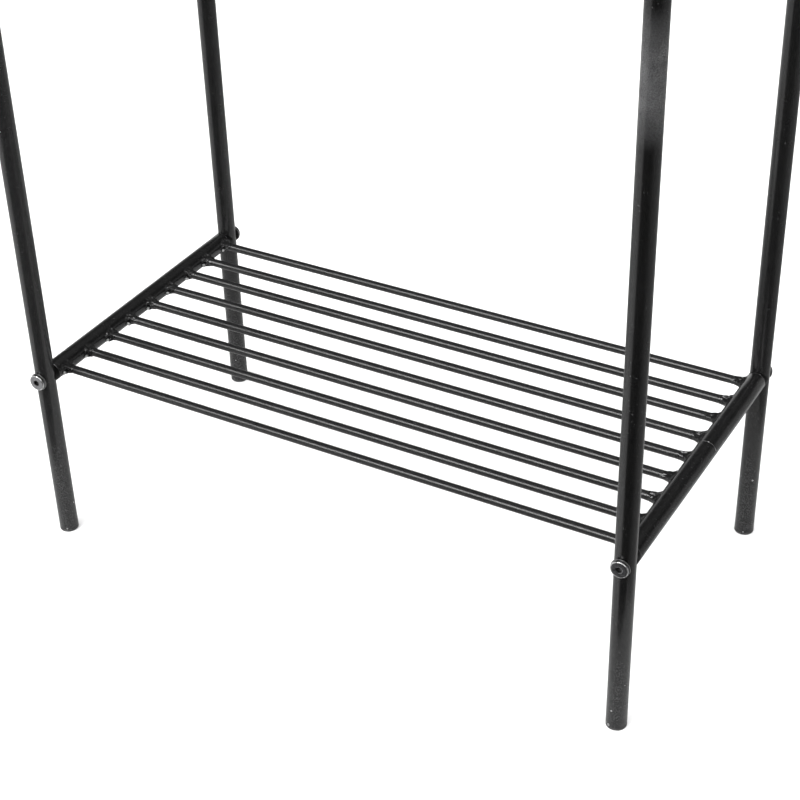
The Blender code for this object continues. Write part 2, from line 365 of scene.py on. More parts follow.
def plated_steel(name, colour, low_gloss, high_gloss):
    """Plated or passivated steel with fine tool marks and cloudy patches."""
    made, tree, shader = new_material(name)
    place = add_node(tree, "ShaderNodeTexCoord").outputs["Object"]
    cloud = noise_node(tree, place, 420.0, 4.0, 0.6)
    dark = tuple(0.55 * value for value in colour)
    tint = ramp_node(tree, cloud, [(0.3, dark), (0.7, colour)])
    tree.links.new(tint, shader.inputs["Base Color"])
    gloss = spread_node(tree, cloud, 0.3, 0.7, low_gloss, high_gloss)
    tree.links.new(gloss, shader.inputs["Roughness"])
    marks = bump_node(tree, noise_node(tree, place, 3200.0, 3.0), 0.18, 0.06 * MM)
    tree.links.new(marks, shader.inputs["Normal"])
    shader.inputs["Metallic"].default_value = 1.0
    return made


COAT = powder_coat("satin_powder_coat", 1.7)
# The rods' coat is the same black painted paler, painted light on the rods, and is rougher.
ROD_COAT = powder_coat("satin_powder_coat_rods_painted_lighter", 2.3, 0.27)
# Each leg's coat is the same black, lightened or darkened by its own amount: painted light and
# shade on each leg. The front right one also carries a painted reflection band.
LEG_COATS = {
    "front_left": powder_coat("satin_powder_coat_painted_lightest", 3.1),
    "back_left": powder_coat("satin_powder_coat_painted_lighter", 2.1),
    "front_right": powder_coat("satin_powder_coat_painted_darkest_with_reflection", 0.8,
                               painted_reflection=(0.560, 0.668, 0.036)),
    "back_right": powder_coat("satin_powder_coat_painted_darker", 1.3),
}
PLASTIC = black_plastic("moulded_plastic", 1.0, 0.5)
# The plugs are black plastic darkened further: painted shade in the joint's gap.
PLUG_PLASTIC_PAINTED_SHADE = black_plastic("black_plastic_painted_shade", 0.25, 0.12)
# The foot caps' plastic is painted lighter: painted light in place of the shade at the floor.
FOOT_PLASTIC_PAINTED_LIGHT = black_plastic("foot_plastic_painted_lighter", 5.0, 0.5)
WORN_EDGE_AND_GLINT = worn_edge_with_painted_glint()
BOLT_STEEL = plated_steel("dark_nickel_plate", (0.31, 0.31, 0.32), 0.12, 0.22)
# The bolt's rounded edge is a brighter copy of its plating: partly wear, partly a painted
# highlight.
WORN_RIM_PAINTED_HIGHLIGHT = plated_steel("worn_nickel_edge_painted_highlight", (0.85, 0.85, 0.85), 0.14, 0.24)
# Painted shade: the socket's walls and floor are painted near black.
SOCKET_PAINTED_SHADE = plated_steel("socket_painted_shade", (0.10, 0.10, 0.10), 0.25, 0.45)
WASHER_STEEL = plated_steel("worn_nickel_plate", (0.36, 0.36, 0.36), 0.30, 0.45)
INSERT_STEEL = plated_steel("yellow_passivated_steel", (0.55, 0.50, 0.38), 0.28, 0.42)
BARE_STEEL_AND_GLINT = plated_steel("bare_steel_chip_and_painted_glint", (0.80, 0.80, 0.80), 0.45, 0.65)


# ---------------------------------------------------------------- legs, caps, tubes

TUBE_RINGS = 8


def tube_profile(radius, wall, low, high):
    """Closed profile of a tube with softened edges, from its outer skin inwards."""
    inner = radius - wall
    return (round_corner(radius - EDGE, low + EDGE, EDGE, 3, -90, 0)
            + [(radius, mix(low, high, step / TUBE_RINGS)) for step in range(1, TUBE_RINGS)]
            + round_corner(radius - EDGE, high - EDGE, EDGE, 3, 0, 90)
            + [(inner, high), (inner, low)])


def shelf_height():
    return box_centre("shelf_end_tube_left").z


HOLE_BAND = 9 * MM               # rings this far above and below a bolt hole keep its cut local


def make_leg(corner):
    """A leg with a bolt hole right through it at the shelf."""
    node = "leg_" + corner
    low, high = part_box(node)
    centre = box_centre(node)
    radius = box_size(node).x / 2
    inner = radius - TUBE_WALL
    hole = shelf_height()
    profile = (round_corner(radius - EDGE, low.z + EDGE, EDGE, 3, -90, 0)
               + [(radius, hole - HOLE_BAND), (radius, hole + HOLE_BAND)]
               + round_corner(radius - EDGE, high.z - EDGE, EDGE, 3, 0, 90)
               + [(inner, high.z), (inner, hole + HOLE_BAND), (inner, hole - HOLE_BAND),
                  (inner, low.z)])
    shape = turned(profile, Matrix.Translation((centre.x, centre.y, 0)), loop=True)
    leg = add_piece(node + "_coated", shape, LEG_COATS[corner], "black_powder_coat", node)
    cut_away(leg, HOLE_RADIUS, 3 * radius, axes((centre.x, centre.y, hole), (0, 1, 0), (0, 0, 1)))


def cap_profile(radius, thickness, edge, spigot_end):
    """A cap, face at height 0: rounded face edge, a raised parting line, a hollow spigot."""
    spigot = radius - TUBE_WALL - FIT_GAP
    inner = spigot - CAP_SPIGOT_WALL
    seam = 0.12 * MM
    dish = 0.35 * MM
    face = radius - edge
    return ([(face * 0.12, dish), (face * 0.55, dish), (face * 0.66, 0.02 * MM), (face, 0)]
            + round_corner(face, edge, edge, 8, -90, 0)[1:]
            + [(radius, thickness - 4 * seam), (radius + seam / 2, thickness - 3 * seam),
               (radius, thickness - 2 * seam), (radius - seam, thickness), (spigot, thickness)]
            + [(spigot, spigot_end), (inner, spigot_end), (inner, thickness),
               (inner * 0.1, thickness)])


def make_cap(kind, corner, thickness, edge, upward):
    """A plug in a leg's end: its face down at the foot, or up at the top."""
    node = kind + "_cap_" + corner
    low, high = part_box(node)
    centre = box_centre(node)
    radius = box_size("leg_" + corner).x / 2
    face = low.z if upward else high.z
    direction = (0, 0, 1) if upward else (0, 0, -1)
    place = axes((centre.x, centre.y, face), direction, (1, 0, 0))
    shape = turned(cap_profile(radius, thickness, edge, high.z - low.z), place)
    roughen(shape, centre, radius, face, thickness)
    # Foot caps take the plastic painted lighter.
    finish = FOOT_PLASTIC_PAINTED_LIGHT if kind == "foot" else PLASTIC
    add_piece(node + "_moulded", shape, finish, "black_plastic", node)


def roughen(shape, centre, radius, face, thickness):
    """Scuff a cap's outer rim, where it has been knocked about."""
    for vert in shape.verts:
        away = Vector((vert.co.x - centre.x, vert.co.y - centre.y, 0))
        if away.length > 0.7 * radius and abs(vert.co.z - face) < 1.05 * thickness:
            knock = noise.noise(vert.co * 420) - 0.25
            if knock > 0:
                vert.co -= away.normalized() * knock * 0.9 * MM


CHIP_POINTS = 11

# Corner, height in m, direction round the leg from the front in degrees, and size in mm of
# each chip in the coat. The back right one 4 mm up is a painted highlight, a glint put down as a
# bare flake.
CHIPS = [("front_right", 0.0225, -9, 0.9), ("front_right", 0.0042, -26, 1.5),
         ("front_right", 0.0040, -52, 1.3), ("front_right", 0.0530, 58, 0.4),
         ("back_right", 0.0680, 39, 0.9), ("back_right", 0.0040, 14, 0.8),
         ("front_left", 0.0335, 100, 0.8), ("front_left", 0.0045, 27, 0.7),
         ("back_left", 0.0300, 20, 0.6), ("front_left", 0.4480, 12, 0.5)]


def make_chip(number, corner, height, turn, size):
    """A flake knocked out of the coat, bare metal just proud of the tube's face."""
    leg = box_centre("leg_" + corner)
    radius = box_size("leg_" + corner).x / 2

    def on_leg(around, up, proud):
        angle = math.radians(turn) + around / radius
        reach = radius + proud
        return Vector((leg.x + reach * math.sin(angle), leg.y - reach * math.cos(angle),
                       height + up))

    shape = bmesh.new()
    middle = shape.verts.new(on_leg(0, 0, 0.07 * MM))
    rim = []
    for i in range(CHIP_POINTS):
        angle = 2 * math.pi * i / CHIP_POINTS
        reach = size * MM * (1 + 0.7 * noise.noise(Vector((i * 1.7, number * 3.1, 0.4))))
        rim.append(shape.verts.new(on_leg(reach * math.cos(angle), reach * math.sin(angle),
                                          0.01 * MM)))
    for i, vert in enumerate(rim):
        shape.faces.new((middle, vert, rim[(i + 1) % len(rim)]))
    add_piece("chip_" + str(number), shape, BARE_STEEL_AND_GLINT, "black_powder_coat")


FOOT_CAP_EDGE = 1.4 * MM
TOP_CAP_EDGE = 4.5 * MM


def make_leg_ends(corner):
    leg_low, leg_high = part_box("leg_" + corner)
    foot_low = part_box("foot_cap_" + corner)[0]
    top_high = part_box("top_cap_" + corner)[1]
    make_cap("foot", corner, leg_low.z - FIT_GAP - foot_low.z, FOOT_CAP_EDGE, True)
    make_cap("top", corner, top_high.z - leg_high.z - FIT_GAP, TOP_CAP_EDGE, False)


def make_straight_tube(node, direction, beside):
    low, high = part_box(node)
    size = high - low
    length = abs(size.dot(Vector(direction)))
    radius = abs(size.dot(Vector(beside))) / 2
    place = axes((low + high) / 2, direction, beside)
    shape = turned(tube_profile(radius, TUBE_WALL, -length / 2, length / 2), place, loop=True)
    tube = add_piece(node + "_coated", shape, COAT, "black_powder_coat", node)
    tube.data.materials.append(WORN_EDGE_AND_GLINT)
    # The cut ends take the worn edge, whose bright patches are partly a painted glint.
    into = place.inverted()
    for face in tube.data.polygons:
        if abs((into @ face.center).z) > length / 2 - 0.9 * EDGE:
            face.material_index = 1


def saddle_reach(across, leg_radius):
    """How far the leg's surface comes towards the middle at a place across it."""
    return math.sqrt(max(0.0, leg_radius ** 2 - across ** 2))


CROSS_TUBE_RINGS = 8


def make_cross_tube(kind, side):
    """A tube welded between two legs, its ends shaped to them."""
    node = kind + "_" + side
    centre = box_centre(node)
    radius = box_size(node).z / 2
    front = box_centre("leg_front_" + side)
    back = box_centre("leg_back_" + side)
    leg_radius = box_size("leg_front_" + side).x / 2 + FIT_GAP / 2
    rings = []
    for shell in (radius, radius - TUBE_WALL):
        rows = []
        for step in range(CROSS_TUBE_RINGS + 1):
            row = []
            for i in range(TUBE_POINTS):
                turn = 2 * math.pi * i / TUBE_POINTS
                across = shell * math.cos(turn)
                reach = saddle_reach(across, leg_radius)
                y = mix(front.y + reach, back.y - reach, step / CROSS_TUBE_RINGS)
                row.append(Vector((centre.x + across, y, centre.z + shell * math.sin(turn))))
            rows.append(row)
        rings += rows if shell == radius else list(reversed(rows))
    add_piece(node + "_coated", skin(rings, True), COAT, "black_powder_coat", node)
    for depth, leg, sign in (("front", front, 1), ("back", back, -1)):
        make_saddle_weld(node + "_weld_" + depth, centre, leg, sign, radius, leg_radius)


BEAD_RINGS = 144                 # along the bead
BEAD_POINTS = 14                 # round it
BEAD_RIPPLES = 26
BEAD_HEIGHT = 1.0                # in mm, as are the next four
BEAD_WIDTH = 2.6
CORNER_HEIGHT = 1.5              # added above and below the tube, where the corner is deeper
CORNER_WIDTH = 0.7
RIPPLE_DEPTH = 0.16


def make_saddle_weld(name, centre, leg, sign, radius, leg_radius):
    """A rippled bead along the line where a cross tube meets its leg."""
    seat = []
    for i in range(BEAD_RINGS):
        turn = 2 * math.pi * i / BEAD_RINGS
        across = radius * math.cos(turn)
        reach = saddle_reach(across, leg_radius)
        seat.append((turn, Vector((centre.x + across, leg.y + sign * reach,
                                   centre.z + radius * math.sin(turn)))))
    rings = []
    for i, (turn, point) in enumerate(seat):
        ahead = seat[(i + 1) % BEAD_RINGS][1]
        behind = seat[i - 1][1]
        along = (ahead - behind).normalized()
        tube_out = Vector((math.cos(turn), 0, math.sin(turn)))
        leg_out = Vector((point.x - leg.x, point.y - leg.y, 0)).normalized()
        out = tube_out + leg_out
        out = (out - along * out.dot(along)).normalized()
        flank = along.cross(out)
        ripple = RIPPLE_DEPTH * math.sin(turn * BEAD_RIPPLES + 2 * noise.noise(point * 90))
        swell = 0.35 * noise.noise(point * 260) + ripple
        corner = abs(math.sin(turn))
        height = (BEAD_HEIGHT + CORNER_HEIGHT * corner + swell * 0.8) * MM
        width = (BEAD_WIDTH + CORNER_WIDTH * corner + swell) * MM
        rings.append([point + out * height * math.cos(2 * math.pi * k / BEAD_POINTS)
                      + flank * width * math.sin(2 * math.pi * k / BEAD_POINTS)
                      for k in range(BEAD_POINTS)])
    add_piece(name, skin(rings, True), COAT, "black_powder_coat")


# ---------------------------------------------------------------- shelf rods and their welds

GLINT_DROP, GLOSSY = 1, 2              # material numbers of a rod's drop painted bright as a glint and of its welds
WELD_GLOSS_REACH = 9 * MM        # how far the welds' glossier coat runs along a rod
WELD_RINGS = 26
ROD_RINGS = 16
ROD_POINTS = 96


def weld_character(number, side):
    """Shape of one weld. The left welds are lumpy double beads, the right ones smooth cones.

    reach is along the rod, and front, back and top are how far the foot spreads, in mm.
    """
    drift = noise.noise(Vector((number * 3.7, 1.3 if side == "left" else 8.9, 0.5)))
    if side == "left":
        made = {"reach": 8.5, "front": 5.4, "back": 5.2, "top": 3.6, "fill": 0.26, "lump": 1.0}
    else:
        made = {"reach": 11.5, "front": 5.8, "back": 5.4, "top": 2.8, "fill": 0.16, "lump": 0.5}
    for key in ("reach", "front", "back", "top"):
        made[key] *= 1 + 0.22 * drift
    made["phase"] = 2.4 * number + (0.0 if side == "left" else 5.0)
    made["side"] = side
    return made


def weld_point(weld, share, turn, tube_radius):
    """A point on a weld, as (out along the rod, across, up): share 0 on the tube, 1 on the rod."""
    across = math.cos(turn)
    up = math.sin(turn)
    sideways = weld["back"] if across > 0 else weld["front"]
    spread = (sideways * across ** 2 + weld["top"] * up ** 2) * MM
    foot = ROD_RADIUS + spread
    foot_up = foot * up
    seat = Vector((math.sqrt(max(0.0, tube_radius ** 2 - foot_up ** 2)) - FIT_GAP,
                   foot * across, foot_up))
    corner = Vector((math.sqrt(tube_radius ** 2 - (ROD_RADIUS * up) ** 2),
                     ROD_RADIUS * across, ROD_RADIUS * up))
    reach = weld["reach"] * (1 + 0.25 * math.sin(2 * turn + weld["phase"])) * MM
    top = Vector((tube_radius + reach, ROD_RADIUS * across, ROD_RADIUS * up))
    middle = corner.lerp((seat + top) / 2, weld["fill"])
    point = seat * (1 - share) ** 2 + middle * 2 * share * (1 - share) + top * share ** 2
    outward = Vector((0.7 * (1 - share), across, up)).normalized()
    return point + outward * weld_relief(weld, share, turn, point)


def weld_relief(weld, share, turn, point):
    """Height of the beads, ripples and pits on a weld."""
    window = smooth_step(0.0, 0.18, share) * (1 - smooth_step(0.72, 1.0, share))
    place = point * 330 + Vector((weld["phase"] * 7.1, 0, 0))
    height = weld["lump"] * noise.noise(place) + 0.5 * weld["lump"] * noise.noise(place * 2.3)
    if weld["side"] == "left":
        height += left_beads(share, turn)
    else:
        height += right_creases(share, turn, weld["phase"])
    return height * window * MM


def left_beads(share, turn):
    """A pit at the front of the weld between two lumps, and two ridges down its back.

    Directions round the rod are in degrees: 0 is to the back, 90 up and 180 to the front.
    """
    turn = math.degrees(turn)
    pit = -3.2 * bump_at(turn, 178, 14) * bump_at(share, 0.42, 0.13)
    lumps = 1.2 * bump_at(turn, 214, 18) + 1.2 * bump_at(turn, 138, 16)
    ridges = 1.2 * bump_at(turn, 64, 7) + 1.0 * bump_at(turn, 38, 7)
    return pit + lumps * bump_at(share, 0.45, 0.2) + ridges * bump_at(share, 0.45, 0.3)


# Along the rod from the tube's face, across and up from the rod's axis, and radius, in mm
DROPS = [(1.1, -6.9, -2.1, 1.6), (0.9, -3.9, 3.3, 1.55), (2.6, -4.4, 1.6, 1.0),
         (0.2, 3.2, 4.6, 1.5)]
DROP_WANDER = 0.6                # in mm


def add_drops(shape, start, tube_radius, number):
    """Drops of weld metal left on a rod's left end. The first drop is painted bright bare steel, a
    painted highlight.
    """
    for index, (along, across, up, radius) in enumerate(DROPS):
        seed = Vector((number * 2.9, index * 5.3, 1.1))
        shift = Vector([DROP_WANDER * noise.noise(seed + Vector((0, 0, 4.7 * axis)))
                        for axis in range(3)])
        middle = start + Vector((tube_radius, 0, 0)) + (Vector((along, across, up)) + shift) * MM
        size = radius * MM * (1 + 0.35 * noise.noise(seed * 1.7))
        ball = bmesh.ops.create_icosphere(shape, subdivisions=3, radius=size,
                                          matrix=Matrix.Translation(middle))
        for vert in ball["verts"]:
            away = (vert.co - middle).normalized()
            vert.co += away * 0.45 * MM * noise.noise(vert.co * 700 + seed)
            if index == 0:
                for face in vert.link_faces:
                    face.material_index = GLINT_DROP


def right_creases(share, turn, phase):
    """A flat scoop beside a sharp crease, as a quickly drawn fillet leaves."""
    turn = math.degrees(turn)
    scoop = -0.9 * bump_at(turn, 125 + 8 * math.sin(phase), 20) * bump_at(share, 0.5, 0.25)
    crease = 1.0 * bump_at(turn, 90 + 10 * math.cos(phase), 9) * bump_at(share, 0.5, 0.35)
    return scoop + crease


def weld_rings(weld, tube_radius, to_world):
    """Rings of a weld from its foot on the tube to the rod."""
    rows = []
    for step in range(WELD_RINGS + 1):
        share = step / WELD_RINGS
        rows.append([to_world(weld_point(weld, share, 2 * math.pi * i / ROD_POINTS, tube_radius))
                     for i in range(ROD_POINTS)])
    return rows


def make_rod(number):
    """A shelf rod with the weld at each end, as one body."""
    node = "shelf_rod_" + str(number)
    centre = box_centre(node)
    left = box_centre("shelf_end_tube_left").x
    right = box_centre("shelf_end_tube_right").x
    tube_radius = box_size("shelf_end_tube_left").z / 2

    def from_left(point):
        return Vector((left + point.x, centre.y + point.y, centre.z + point.z))

    def from_right(point):
        return Vector((right - point.x, centre.y + point.y, centre.z + point.z))

    rings = weld_rings(weld_character(number, "left"), tube_radius, from_left)
    closing = weld_rings(weld_character(number, "right"), tube_radius, from_right)
    start = rings[-1]
    end = closing[-1]
    for step in range(1, ROD_RINGS):
        share = step / ROD_RINGS
        rings.append([a.lerp(b, share) for a, b in zip(start, end)])
    rings += list(reversed(closing))
    shape = skin(rings)
    add_drops(shape, Vector((left, centre.y, centre.z)), tube_radius, number)
    rod = add_piece(node + "_welded", shape, ROD_COAT, "black_powder_coat", node)
    rod.data.materials.append(BARE_STEEL_AND_GLINT)
    rod.data.materials.append(COAT)
    for face in rod.data.polygons:
        from_end = min(face.center.x - left, right - face.center.x)
        if face.material_index == 0 and from_end < tube_radius + WELD_GLOSS_REACH:
            face.material_index = GLOSSY


SCUFF_PLACE = 21 * MM            # along the right end tube, towards the back
SCUFF_POINTS = 60
SCUFF_HALF_WIDTH = 0.34 * MM
SCUFF_SINK = 0.05 * MM           # how far its edges lie below the coat
SPECK_RADIUS = 0.55 * MM


def make_scuff():
    """A thin ridge in the coat part of the way round the right end tube, with a bare speck."""
    tube = box_centre("shelf_end_tube_right")
    radius = box_size("shelf_end_tube_right").z / 2
    rings = []
    for i in range(SCUFF_POINTS + 1):
        turn = math.radians(mix(12, 172, i / SCUFF_POINTS))
        out = Vector((math.cos(turn), 0, math.sin(turn)))
        wander = 0.5 * MM * noise.noise(Vector((i * 0.11, 2.2, 0.3)))
        seat = tube + out * radius + Vector((0, SCUFF_PLACE + wander, 0))
        tall = (0.16 + 0.10 * noise.noise(Vector((i * 0.6, 0.7, 4.1)))) * MM
        wide = Vector((0, SCUFF_HALF_WIDTH, 0))
        sunk = out * SCUFF_SINK
        rings.append([seat - wide - sunk, seat + out * tall, seat + wide - sunk])
    add_piece("shelf_end_tube_right_scuff", skin(rings), WORN_EDGE_AND_GLINT, "black_powder_coat")
    shape = bmesh.new()
    turn = math.radians(80)
    spot = tube + Vector((radius * math.cos(turn), SCUFF_PLACE, radius * math.sin(turn)))
    bmesh.ops.create_icosphere(shape, subdivisions=3, radius=SPECK_RADIUS,
                               matrix=Matrix.Translation(spot))
    for vert in shape.verts:
        vert.co += (vert.co - spot) * 0.8 * noise.noise(vert.co * 1500)
    add_piece("shelf_end_tube_right_speck", shape, BARE_STEEL_AND_GLINT, "black_powder_coat")


def make_shelf():
    for side in SIDES:
        make_straight_tube("shelf_end_tube_" + side, (0, 1, 0), (0, 0, 1))
    number = 1
    while "shelf_rod_" + str(number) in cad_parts:
        make_rod(number)
        number += 1


# ---------------------------------------------------------------- bolted joints

def hexagon_radius(flats, turn):
    """Distance from the middle of a hexagon to its side, in the direction of turn."""
    folded = (turn % (math.pi / 3)) - math.pi / 6
    return flats / 2 / math.cos(folded)


def hexagon_ring(flats, height, place):
    points = []
    for i in range(BOLT_POINTS):
        turn = 2 * math.pi * i / BOLT_POINTS
        radius = hexagon_radius(flats, turn)
        points.append(place @ Vector((radius * math.cos(turn), radius * math.sin(turn), height)))
    return points


BOLT_EDGE = 0.95 * MM            # rounding of the head's face
BOLT_CHAMFER = 0.8 * MM          # at the tip of its shank
BOLT_BREAK = 0.12 * MM           # edge at the back of its head
RIM, SOCKET = 1, 2               # material numbers of a bolt's rounded edge and its socket


def make_bolt(node, place, length, radius, head):
    """A flat-headed bolt with a hexagon socket, its face at height 0 and its shank upwards."""
    soft = BOLT_EDGE
    mouth = SOCKET_FLATS / math.sqrt(3)
    outline = ([(BOLT_SHANK * 0.7, length), (BOLT_SHANK, length - BOLT_CHAMFER), (BOLT_SHANK, head),
                (radius - BOLT_BREAK, head), (radius, head - BOLT_BREAK)]
               + round_corner(radius - soft, soft, soft, 7, 0, -90)
               + [(radius * 0.74, 0.0), (mouth + 0.52 * MM, 0.0), (mouth + 0.45 * MM, 0.0)])
    rings = [ring(r, h, BOLT_POINTS, place) for r, h in outline]
    rings.append(hexagon_ring(SOCKET_FLATS + 0.3 * MM, 0.20 * MM, place))
    rings.append(hexagon_ring(SOCKET_FLATS, 0.45 * MM, place))
    rings.append(hexagon_ring(SOCKET_FLATS, SOCKET_DEPTH, place))
    rings.append(hexagon_ring(SOCKET_FLATS * 0.55, SOCKET_DEPTH + 0.1 * MM, place))
    rings.append(ring(0.3 * MM, SOCKET_DEPTH + 0.7 * MM, BOLT_POINTS, place))
    bolt = add_piece(node + "_plated", skin(rings), BOLT_STEEL, "plated_steel", node)
    bolt.data.materials.append(WORN_RIM_PAINTED_HIGHLIGHT)
    bolt.data.materials.append(SOCKET_PAINTED_SHADE)
    into = place.inverted()
    for face in bolt.data.polygons:
        spot = into @ face.center
        out = math.hypot(spot.x, spot.y)
        # The rounded edge takes the brighter plating: partly wear, partly a painted highlight.
        if out > radius - soft and spot.z < soft:
            face.material_index = RIM
        # The socket takes painted shade.
        elif out < mouth and 0.1 * MM < spot.z < SOCKET_DEPTH + 1 * MM:
            face.material_index = SOCKET


WASHER_EDGE = 0.22 * MM


def make_washer(node, place, thickness, radius):
    """A pressed washer, rolled over at its outer edge."""
    soft = WASHER_EDGE
    profile = ([(HOLE_RADIUS, 0.0)]
               + round_corner(radius - soft, soft, soft, 4, -90, 0)
               + round_corner(radius - soft, thickness - soft, soft, 4, 0, 90)
               + [(HOLE_RADIUS, thickness)])
    shape = turned(profile, place, loop=True)
    add_piece(node + "_plated", shape, WASHER_STEEL, "plated_steel", node)


PLUG_EDGE = 0.3 * MM
POCKET_START = 0.24              # share of the spigot's length where the insert's pocket starts


def make_plug(node, place, radius, tube_end, end, host_radius, host_axis):
    """A saddle plug: a collar that wraps the tube beside it, and a spigot in its own tube."""
    start = extent_along(node, place)[0]
    spigot = radius - TUBE_WALL - FIT_GAP
    soft = PLUG_EDGE
    collar_end = tube_end - FIT_GAP
    pocket = mix(collar_end, end, POCKET_START)
    profile = ([(HOLE_RADIUS, start)]
               + round_corner(radius - soft, start + soft, soft, 3, -90, 0)
               + round_corner(radius - soft, collar_end - soft, soft, 3, 0, 90)
               + [(spigot, collar_end), (spigot, end - soft), (spigot - soft, end),
                  (INSERT_RADIUS, end), (INSERT_RADIUS, pocket), (HOLE_RADIUS, pocket)])
    shape = turned(profile, place, loop=True)
    plug = add_piece(node + "_moulded", shape, PLUG_PLASTIC_PAINTED_SHADE, "black_plastic", node)
    host = axes(place.translation, host_axis, place.to_3x3() @ Vector((0, 0, 1)))
    cut_away(plug, host_radius + FIT_GAP, 6 * radius, host)


def extent_along(node, place):
    """Lowest and highest height of a CAD node's corners along a joint's local Z axis."""
    back = place.inverted()
    heights = [(back @ vert.co).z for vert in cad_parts[node].data.vertices]
    return min(heights), max(heights)


def make_joint(kind, name, centre, inward, host_axis, host_radius, tube_radius, tube_end):
    """Bolt, washer and saddle plug of one joint. Local Z points into the tube."""
    place = axes(centre, inward, host_axis)
    bolt = "_".join((kind, "bolt", name))
    washer = "_".join((kind, "washer", name))
    plug = "_".join((kind, "plug", name))
    face, tip = extent_along(bolt, place)
    near, far = extent_along(washer, place)
    size = box_size(bolt)
    head_radius = (max(size.x, size.z) if kind == "shelf" else size.z) / 2
    washer_radius = box_size(washer).z / 2
    at_face = axes(centre + Vector(inward) * face, inward, host_axis)
    make_bolt(bolt, at_face, tip - face, head_radius, near - face - FIT_GAP)
    at_washer = axes(centre + Vector(inward) * near, inward, host_axis)
    make_washer(washer, at_washer, far - near, washer_radius)
    make_plug(plug, place, tube_radius, tube_end, extent_along(plug, place)[1], host_radius,
              host_axis)


def make_shelf_joints():
    for corner in CORNERS:
        leg = box_centre("leg_" + corner)
        depth, side = corner.split("_")
        tube = "shelf_end_tube_" + side
        inward = (0, 1, 0) if depth == "front" else (0, -1, 0)
        host_radius = box_size("leg_" + corner).x / 2
        tube_radius = box_size(tube).z / 2
        tube_end = abs(leg.y) - box_size(tube).y / 2
        centre = Vector((leg.x, leg.y, box_centre(tube).z))
        make_joint("shelf", corner, centre, inward, (0, 0, 1), host_radius, tube_radius, tube_end)


def make_rail_joints():
    rail = box_size("hanging_rail")
    for side in SIDES:
        bar = "top_bar_" + side
        centre = box_centre(bar)
        inward = (1, 0, 0) if side == "left" else (-1, 0, 0)
        make_joint("rail", side, centre, inward, (0, 1, 0), box_size(bar).z / 2, rail.z / 2,
                   abs(centre.x) - rail.x / 2)


def dress_inserts():
    """The threaded inserts stay as they are, in passivated steel."""
    for name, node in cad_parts.items():
        if "insert" in name:
            node.data.materials.clear()
            node.data.materials.append(INSERT_STEEL)


# ---------------------------------------------------------------- floor, light, camera

FLOOR_REACH = 30.0
FLOOR_BRIGHTNESS = 0.82
BOARD = ((-0.75, -0.27), (0.48, 0.70))       # corners of the grey sheet
BOARD_HEIGHT = 0.1 * MM
BOARD_BRIGHTNESS = 0.37


def make_slab(name, low, high, height, brightness):
    """A level matt sheet between two corners."""
    shape = bmesh.new()
    corners = [(low[0], low[1]), (high[0], low[1]), (high[0], high[1]), (low[0], high[1])]
    shape.faces.new([shape.verts.new((x, y, height)) for x, y in corners])
    finish, _, shader = new_material(name)
    shader.inputs["Base Color"].default_value = (brightness, brightness, brightness, 1.0)
    shader.inputs["Roughness"].default_value = 0.9
    shader.inputs["Specular IOR Level"].default_value = 0.0
    mesh = bpy.data.meshes.new(name)
    shape.to_mesh(mesh)
    shape.free()
    mesh.materials.append(finish)
    slab = bpy.data.objects.new(name, mesh)
    bpy.context.scene.collection.objects.link(slab)
    return slab


def make_floor():
    """A plain pale floor. The coat mirrors a grey sheet around the feet in its place."""
    floor = make_slab("floor", (-FLOOR_REACH, -FLOOR_REACH), (FLOOR_REACH, FLOOR_REACH), 0.0,
                      FLOOR_BRIGHTNESS)
    floor.visible_glossy = False
    board = make_slab("reflected_board", BOARD[0], BOARD[1], BOARD_HEIGHT, BOARD_BRIGHTNESS)
    board.visible_camera = False
    board.visible_diffuse = False
    board.visible_shadow = False
    board.visible_transmission = False


SUN_STRENGTH = 4.0
SUN_SPREAD = math.radians(100)
SUN_TILT = (math.radians(8), math.radians(-6), 0)


def make_sun():
    """A very soft light from above that leaves no hot spots on the coat."""
    light = bpy.data.lights.new("overhead_silk", "SUN")
    light.energy = SUN_STRENGTH
    light.angle = SUN_SPREAD
    lamp = bpy.data.objects.new("overhead_silk", light)
    lamp.rotation_euler = SUN_TILT
    lamp.visible_glossy = False
    bpy.context.scene.collection.objects.link(lamp)


# Azimuth, elevation, half width and half height in degrees, softness of the edge, strength
SOFT_BOXES = [(-20, 37, 19, 8, 0.25, 17.0), (50, 42, 32, 22, 0.3, 1.8),
              (150, 78, 30, 30, 0.5, 0.4)]


def world_patch(tree, direction, azimuth, elevation, wide, high, soft):
    """An elliptical soft box in the sky, 1 inside and 0 outside, with its angles in degrees."""
    turned_round = add_node(tree, "ShaderNodeVectorRotate", rotation_type="Z_AXIS",
                            Angle=-math.radians(azimuth))
    tree.links.new(direction, turned_round.inputs["Vector"])
    tipped = add_node(tree, "ShaderNodeVectorRotate", rotation_type="X_AXIS",
                      Angle=math.radians(elevation))
    tree.links.new(turned_round.outputs["Vector"], tipped.inputs["Vector"])
    parts = add_node(tree, "ShaderNodeSeparateXYZ")
    tree.links.new(tipped.outputs["Vector"], parts.inputs["Vector"])
    across = math_node(tree, "DIVIDE", parts.outputs["X"], math.sin(math.radians(wide)))
    up = math_node(tree, "DIVIDE", parts.outputs["Z"], math.sin(math.radians(high)))
    distance = math_node(tree, "SQRT", math_node(
        tree, "ADD", math_node(tree, "POWER", across, 2.0), math_node(tree, "POWER", up, 2.0)))
    inside = spread_node(tree, distance, 1 - soft, 1 + soft, 1.0, 0.0)
    facing = spread_node(tree, parts.outputs["Y"], -0.05, 0.0, 1.0, 0.0)
    return math_node(tree, "MULTIPLY", inside, facing)


